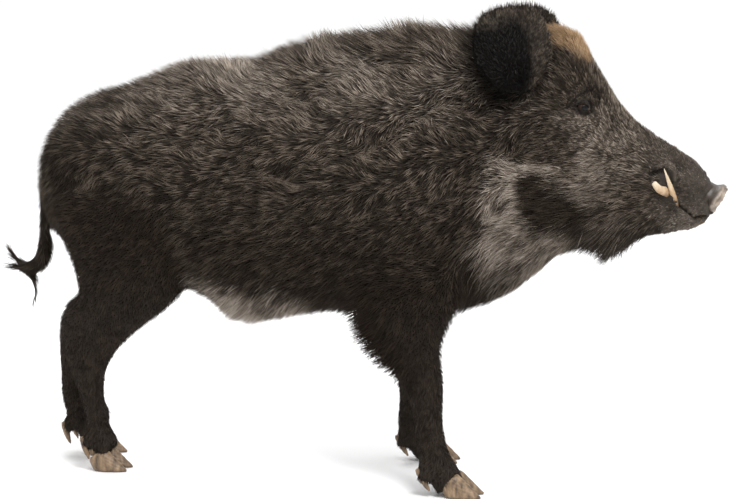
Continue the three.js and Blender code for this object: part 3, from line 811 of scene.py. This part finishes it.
def mix_colours(tree, share, first, second):
    node = tree.nodes.new("ShaderNodeMix")
    node.data_type = "RGBA"
    for socket, value in ((0, share), (6, first), (7, second)):
        if isinstance(value, (int, float)):
            node.inputs[socket].default_value = value
        elif isinstance(value, tuple):
            node.inputs[socket].default_value = (*value, 1)
        else:
            tree.links.new(value, node.inputs[socket])
    return node.outputs[2]


def maths(tree, operation, first, second=0.0):
    node = tree.nodes.new("ShaderNodeMath")
    node.operation = operation
    for socket, value in ((0, first), (1, second)):
        if isinstance(value, (int, float)):
            node.inputs[socket].default_value = value
        else:
            tree.links.new(value, node.inputs[socket])
    return node.outputs[0]


def noise_node(tree, scale, detail=3.0, stretch=None):
    place = tree.nodes.new("ShaderNodeTexCoord").outputs["Object"]
    if stretch:
        mapping = tree.nodes.new("ShaderNodeMapping")
        mapping.inputs["Scale"].default_value = stretch
        tree.links.new(place, mapping.inputs["Vector"])
        place = mapping.outputs[0]
    node = tree.nodes.new("ShaderNodeTexNoise")
    node.inputs["Scale"].default_value = scale
    node.inputs["Detail"].default_value = detail
    tree.links.new(place, node.inputs["Vector"])
    return node.outputs["Fac"]


def bump_node(tree, shader, height, strength, distance):
    node = tree.nodes.new("ShaderNodeBump")
    node.inputs["Strength"].default_value = strength
    node.inputs["Distance"].default_value = distance
    tree.links.new(height, node.inputs["Height"])
    tree.links.new(node.outputs[0], shader.inputs["Normal"])


def attribute_parts(tree, name):
    source = tree.nodes.new("ShaderNodeAttribute")
    source.attribute_name = name
    split = tree.nodes.new("ShaderNodeSeparateColor")
    tree.links.new(source.outputs["Color"], split.inputs[0])
    return [*split.outputs, source.outputs["Alpha"]]


# Colours along a bristle from root to tip, for each kind of hair.
PLAIN = [(0.0, (0.009, 0.0070, 0.0053)), (0.5, (0.034, 0.0265, 0.0202)),
         (0.8, (0.118, 0.0945, 0.0735)), (1.0, (0.33, 0.268, 0.210))]
DARK = [(0.0, (0.010, 0.0074, 0.0055)), (0.6, (0.023, 0.0168, 0.0122)), (1.0, (0.056, 0.041, 0.030))]
PALE = [(0.0, (0.060, 0.048, 0.037)), (0.5, (0.26, 0.215, 0.174)), (1.0, (0.62, 0.54, 0.46))]
TAN = [(0.0, (0.060, 0.035, 0.018)), (0.5, (0.24, 0.150, 0.080)), (1.0, (0.44, 0.305, 0.185))]
# BLACK colours black hair and also the painted shade set in the black share.
BLACK = (0.0030, 0.0024, 0.0020)


def boar_colour(tree, along, tone):
    """The coat's colour from the markings, the place along the hair and the lock's tone."""
    dark, pale, tan, black = attribute_parts(tree, "marks")
    grizzle = maths(tree, "MULTIPLY", tone, 0.66)
    reach = maths(tree, "ADD", maths(tree, "MULTIPLY", along, 0.55), grizzle)
    colour = ramp_node(tree, reach, PLAIN)
    colour = mix_colours(tree, dark, colour, ramp_node(tree, reach, DARK))
    colour = mix_colours(tree, pale, colour, ramp_node(tree, reach, PALE))
    colour = mix_colours(tree, tan, colour, ramp_node(tree, reach, TAN))
    # The black share: black hair, and painted shade in creases, the mouth's line and the ear's cup.
    return mix_colours(tree, black, colour, BLACK)


def coat_material():
    material, tree, shader = new_material("bristles")
    along, tone, _, _ = attribute_parts(tree, "hair")
    tree.links.new(boar_colour(tree, along, tone), shader.inputs["Base Color"])
    shader.inputs["Roughness"].default_value = 0.65
    shader.inputs["Specular IOR Level"].default_value = 0.05
    return material


def skin_material():
    material, tree, shader = new_material("skin")
    fine = noise_node(tree, 900, 4, (0.35, 1, 1))
    blotch = noise_node(tree, 60, 4)
    bare = attribute_parts(tree, "bare")[0]
    colour = boar_colour(tree, maths(tree, "MULTIPLY", fine, 0.35), blotch)
    hide = ramp_node(tree, blotch, [(0.3, (0.022, 0.018, 0.014)), (0.7, (0.046, 0.037, 0.030))])
    hide = mix_colours(tree, 0.35, hide, ramp_node(tree, fine, [
        (0.3, (0.016, 0.013, 0.011)), (0.7, (0.090, 0.072, 0.060))
    ]))
    tree.links.new(mix_colours(tree, bare, colour, hide), shader.inputs["Base Color"])
    shader.inputs["Roughness"].default_value = 0.60
    shader.inputs["Specular IOR Level"].default_value = 0.15
    bump_node(tree, shader, maths(tree, "ADD", fine, blotch), 0.5, 0.0012)
    return material


def nose_material():
    material, tree, shader = new_material("nose_skin")
    blotch = noise_node(tree, 70, 5)
    pores = noise_node(tree, 650, 3)
    colour = ramp_node(tree, blotch, [
        (0.30, (0.075, 0.055, 0.042)), (0.5, (0.20, 0.155, 0.118)), (0.70, (0.40, 0.335, 0.275))
    ])
    pit, back, _, _ = attribute_parts(tree, "relief")
    colour = mix_colours(tree, back, colour, (0.045, 0.034, 0.026))
    # Painted shade: the nostrils' pits are coloured near black.
    colour = mix_colours(tree, pit, colour, (0.010, 0.007, 0.006))
    tree.links.new(colour, shader.inputs["Base Color"])
    shader.inputs["Roughness"].default_value = 0.42
    shader.inputs["Specular IOR Level"].default_value = 0.5
    bump_node(tree, shader, pores, 0.45, 0.0008)
    return material


def horn_material():
    material, tree, shader = new_material("hoof_horn")
    streak = noise_node(tree, 130, 5, (1, 1, 0.35))
    rings = noise_node(tree, 90, 3, (0.25, 0.25, 4.5))
    colour = ramp_node(tree, streak, [
        (0.30, (0.050, 0.034, 0.022)), (0.48, (0.170, 0.110, 0.062)), (0.70, (0.30, 0.205, 0.122))
    ])
    place = tree.nodes.new("ShaderNodeTexCoord")
    split = tree.nodes.new("ShaderNodeSeparateXYZ")
    tree.links.new(place.outputs["Object"], split.inputs[0])
    # Darker in the lowest few millimetres of height, where the horn meets the floor.
    worn = maths(tree, "MULTIPLY", split.outputs[2], 150)
    edge = ramp_node(tree, worn, [(0.0, (1, 1, 1)), (0.55, (0, 0, 0))])
    colour = mix_colours(tree, maths(tree, "MULTIPLY", edge, 0.75), colour, (0.035, 0.024, 0.017))
    tree.links.new(colour, shader.inputs["Base Color"])
    shader.inputs["Roughness"].default_value = 0.48
    bump_node(tree, shader, maths(tree, "ADD", rings, maths(tree, "MULTIPLY", streak, 0.5)),
              0.3, 0.0008)
    return material


def tusk_material():
    material, tree, shader = new_material("tusk_ivory")
    stain = noise_node(tree, 160, 5, (1, 1, 0.5))
    split = tree.nodes.new("ShaderNodeSeparateXYZ")
    tree.links.new(tree.nodes.new("ShaderNodeTexCoord").outputs["Generated"], split.inputs[0])
    # Brown where it leaves the gum, paler towards the worn tip.
    reach = maths(tree, "ADD", maths(tree, "MULTIPLY", split.outputs[2], 0.55),
                  maths(tree, "MULTIPLY", stain, 0.55))
    colour = ramp_node(tree, reach, [
        (0.25, (0.13, 0.070, 0.035)), (0.50, (0.40, 0.270, 0.150)), (0.80, (0.66, 0.565, 0.43))
    ])
    tree.links.new(colour, shader.inputs["Base Color"])
    shader.inputs["Roughness"].default_value = 0.32
    bump_node(tree, shader, stain, 0.35, 0.0008)
    return material


def eye_material():
    material, tree, shader = new_material("eyeball")
    streaks = noise_node(tree, 900, 3)
    iris, pupil, _, _ = attribute_parts(tree, "relief")
    brown = ramp_node(tree, streaks, [(0.3, (0.010, 0.005, 0.002)), (0.7, (0.034, 0.016, 0.007))])
    colour = mix_colours(tree, iris, (0.030, 0.020, 0.015), brown)
    colour = mix_colours(tree, pupil, colour, (0.002, 0.002, 0.002))
    tree.links.new(colour, shader.inputs["Base Color"])
    shader.inputs["Roughness"].default_value = 0.08
    shader.inputs["Specular IOR Level"].default_value = 0.22
    return material


# ------------------------------------------------------------------ nose disc, hooves, tusks
def nose_disc(material):
    """A thick rounded disc with a raised rim, a groove down its middle and two deep nostrils."""
    rings, around, face_share = 44, 96, 0.60
    half, height = 0.0365, 0.0275
    up = np.array([-DISC_FACING[2], 0, DISC_FACING[0]])
    side = np.array([0.0, 1.0, 0.0])
    verts, nostril_shade, backs = [DISC + DISC_FACING * 0.0005], [0.0], [0.0]
    for i in range(1, rings + 1):
        t = i / rings
        back = max(0.0, (t - face_share) / (1 - face_share))  # 0 on the face, 1 deep in the muzzle
        spread = min(t / face_share, 1.0)
        for j in range(around):
            turn = 2 * math.pi * j / around
            y, z = math.sin(turn), math.cos(turn)
            squash = 1 - 0.12 * max(-z, 0) + 0.05 * math.cos(3 * turn)
            uneven = 0.0007 * math.sin(5 * turn + 1.0) + 0.0005 * math.sin(11 * turn + 4 * t)
            if back == 0:
                across, rise = y * spread, z * spread
                rim = 0.0040 * math.exp(-(((spread - 0.86) / 0.13) ** 2))
                rim -= 0.0045 * smooth(0.90, 1.0, np.array(spread))
                groove = -0.0025 * math.exp(-((across / 0.09) ** 2)) * (0.3 + 0.7 * spread)
                # Each nostril is an oval pit that opens to the side, with a soft lip round it.
                along = (abs(across) - 0.46) * math.cos(0.5) + (rise + 0.06) * math.sin(0.5)
                athwart = (rise + 0.06) * math.cos(0.5) - (abs(across) - 0.46) * math.sin(0.5)
                away = math.hypot(along / (0.22 if along < 0 else 0.34), athwart / 0.17)
                pit = 1 / (1 + math.exp(min((away - 1) * 9, 50)))
                lip = 0.0018 * math.exp(-(((away - 1.4) / 0.28) ** 2))
                out = (rim + lip) * (1 - pit) + groove + uneven * spread - 0.016 * pit
                grow = 1.0
            else:
                pit = 0.0
                out = -0.0005 - 0.036 * back + uneven * (1 - back)
                bulge = math.sin(min(back / 0.32, 1) * math.pi)
                grow = 1.0 + 0.045 * bulge - 0.24 * smooth(0.12, 0.55, np.array(back))
                grow += 0.012 * math.sin(back * 40) * (1 - back)
            spot = side * (y * half * spread * grow * squash)
            spot = spot + up * (z * height * spread * grow) + DISC_FACING * out
            verts.append(DISC + spot)
            nostril_shade.append(pit)
            backs.append(float(smooth(0.05, 0.30, np.array(back))))
    faces = [(0, 1 + j, 1 + (j + 1) % around) for j in range(around)]
    for i in range(rings - 1):
        a, b = 1 + i * around, 1 + (i + 1) * around
        faces += [
            (a + j, b + j, b + (j + 1) % around, a + (j + 1) % around) for j in range(around)
        ]
    faces.append(tuple(1 + (rings - 1) * around + j for j in reversed(range(around))))
    mesh = bpy.data.meshes.new("nose_disc")
    mesh.from_pydata([tuple(v) for v in verts], [], faces)
    work = bmesh.new()
    work.from_mesh(mesh)
    bmesh.ops.recalc_face_normals(work, faces=work.faces)
    work.to_mesh(mesh)
    work.free()
    piece = add_piece("nose_disc", mesh, material)
    blank = np.zeros(len(nostril_shade))
    add_colour(mesh, "relief", np.column_stack([nostril_shade, backs, blank, blank + 1]))
    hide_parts("snout")


def worn_piece(name, voxel, rounds, plump, ring_height, material):
    """A hoof, dewclaw or tusk: its CAD node with the edges worn round and faint growth rings."""
    mesh = gridded([name], voxel)
    low, high = corners(name)
    set_points(mesh, relax(points_of(mesh), edges_of(mesh), rounds, 0.5))
    # Smoothing shrinks it, so it is swollen again and stretched to the node's own height.
    co = points_of(mesh) + normals_of(mesh) * plump
    bottom, top = co[:, 2].min(), co[:, 2].max()
    co[:, 2] = (co[:, 2] - bottom) / (top - bottom) * (high[2] - low[2]) + low[2]
    set_points(mesh, co)
    level = co @ np.array([0.42, 0, 0.91]) + 0.0012 * waves(co, 0.03, 31)
    rings = np.sin(level / 0.00075) + 0.8 * waves(co, 0.008, 32)
    grounded = smooth(0.0, 0.004, co[:, 2])
    set_points(mesh, co + normals_of(mesh) * (ring_height * rings * grounded)[:, None])
    piece = add_piece(f"{name}_worn", mesh, material)
    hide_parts(name)


def eyeball(hand, material):
    """A smooth ball in place of the CAD one, with the cornea a little raised."""
    low, high = corners(f"eye_{hand}")
    radius, middle = (high[0] - low[0]) / 2, (low + high) / 2
    look = unit(np.array([0.30, -1.0 if hand == "right" else 1.0, 0.02]))
    work = bmesh.new()
    bmesh.ops.create_icosphere(work, subdivisions=5, radius=radius)
    shades = []
    for vert in work.verts:
        away = math.acos(max(-1, min(1, Vector(look).dot(vert.co) / radius)))
        vert.co *= 1 + 0.05 * float(smooth(0.62, 0.40, np.array(away)))
        vert.co += Vector(middle)
        shades.append(away)
    mesh = bpy.data.meshes.new(f"eyeball_{hand}")
    work.to_mesh(mesh)
    work.free()
    shades = np.array(shades)
    iris, pupil = smooth(0.95, 0.85, shades), smooth(0.52, 0.47, shades)
    add_colour(mesh, "relief", np.column_stack([iris, pupil, iris * 0, iris * 0 + 1]))
    piece = add_piece(f"eyeball_{hand}", mesh, material)
    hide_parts(f"eye_{hand}")


# ------------------------------------------------------------------ camera, light, floor
def camera():
    """Seen from the animal's right side, a little from the front and above."""
    azimuth, elevation, distance = math.radians(12), math.radians(7.5), 4.0
    target = Vector((0.0169, 0, 0.412))
    back = Vector((
        math.sin(azimuth) * math.cos(elevation),
        -math.cos(azimuth) * math.cos(elevation),
        math.sin(elevation),
    ))
    data = bpy.data.cameras.new("camera")
    data.lens, data.sensor_width = 109.6, 36
    data.clip_end = 500
    view = bpy.data.objects.new("camera", data)
    view.location = target + back * distance
    view.rotation_euler = back.to_track_quat("Z", "Y").to_euler()
    bpy.context.collection.objects.link(view)
    bpy.context.scene.camera = view


def area_light(name, place, size, power):
    data = bpy.data.lights.new(name, "AREA")
    data.shape, data.size, data.energy = "DISK", size, power
    light = bpy.data.objects.new(name, data)
    light.location = place
    direction = Vector(place) - Vector((0, 0, 0.45))  # it faces the body's middle
    light.rotation_euler = direction.to_track_quat("Z", "Y").to_euler()
    bpy.context.collection.objects.link(light)


def studio():
    world = bpy.data.worlds.new("studio")
    bpy.context.scene.world = world
    world.use_nodes = True
    tree = world.node_tree
    split = tree.nodes.new("ShaderNodeSeparateXYZ")
    tree.links.new(tree.nodes.new("ShaderNodeTexCoord").outputs["Generated"], split.inputs[0])
    # Brighter overhead than at the horizon, like a ceiling of soft boxes.
    tree.links.new(
        ramp_node(tree, split.outputs[2], [(0.0, (0.55,) * 3), (1.0, (1.0,) * 3)]),
        tree.nodes["Background"].inputs[0],
    )
    tree.nodes["Background"].inputs[1].default_value = 1.32
    area_light("key", (1.4, -2.4, 3.6), 1.4, 125)
    area_light("rim", (-1.2, 2.4, 3.0), 2.0, 60)
    bpy.ops.mesh.primitive_plane_add(size=300)
    floor = bpy.context.object
    floor.name = "floor"
    material, tree, shader = new_material("studio_floor")
    speck = noise_node(tree, 3, 2)
    colour = ramp_node(tree, speck, [(0.0, (0.90, 0.90, 0.90)), (1.0, (0.93, 0.93, 0.93))])
    tree.links.new(colour, shader.inputs["Base Color"])
    shader.inputs["Roughness"].default_value = 0.9
    floor.data.materials.append(material)
    bpy.context.scene.view_settings.view_transform = "Standard"


# ------------------------------------------------------------------ putting it together
camera()
studio()

hide = skin_material()
skin = add_piece("skin", build_skin(), hide)
unwrap(skin)
skin_regions = Regions(points_of(skin.data))
add_colour(skin.data, "marks", markings(skin_regions))
add_colour(skin.data, "bare", np.repeat(bareness(skin_regions)[:, None], 4, axis=1))
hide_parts(*FLESH)

bristles = coat_material()
share = 1.0  # the share of the tufts that are grown; below 1 grows fewer
coat_pieces(Tufts(skin.data, int(TUFTS * share), body_density, body_width), "coat", bristles)
coat_pieces(
    Tufts(skin.data, int(SHORT_TUFTS * share), short_density, short_width), "short_coat", bristles
)

nose_disc(nose_material())
horn, ivory = horn_material(), tusk_material()
for name in HORN:
    worn_piece(name, 0.0015, 18, 0.0016, 0.00022, horn)
for name in TUSKS:
    worn_piece(name, 0.0010, 10, 0.0004, 0.00010, ivory)
for hand in ("right", "left"):
    eyeball(hand, eye_material())
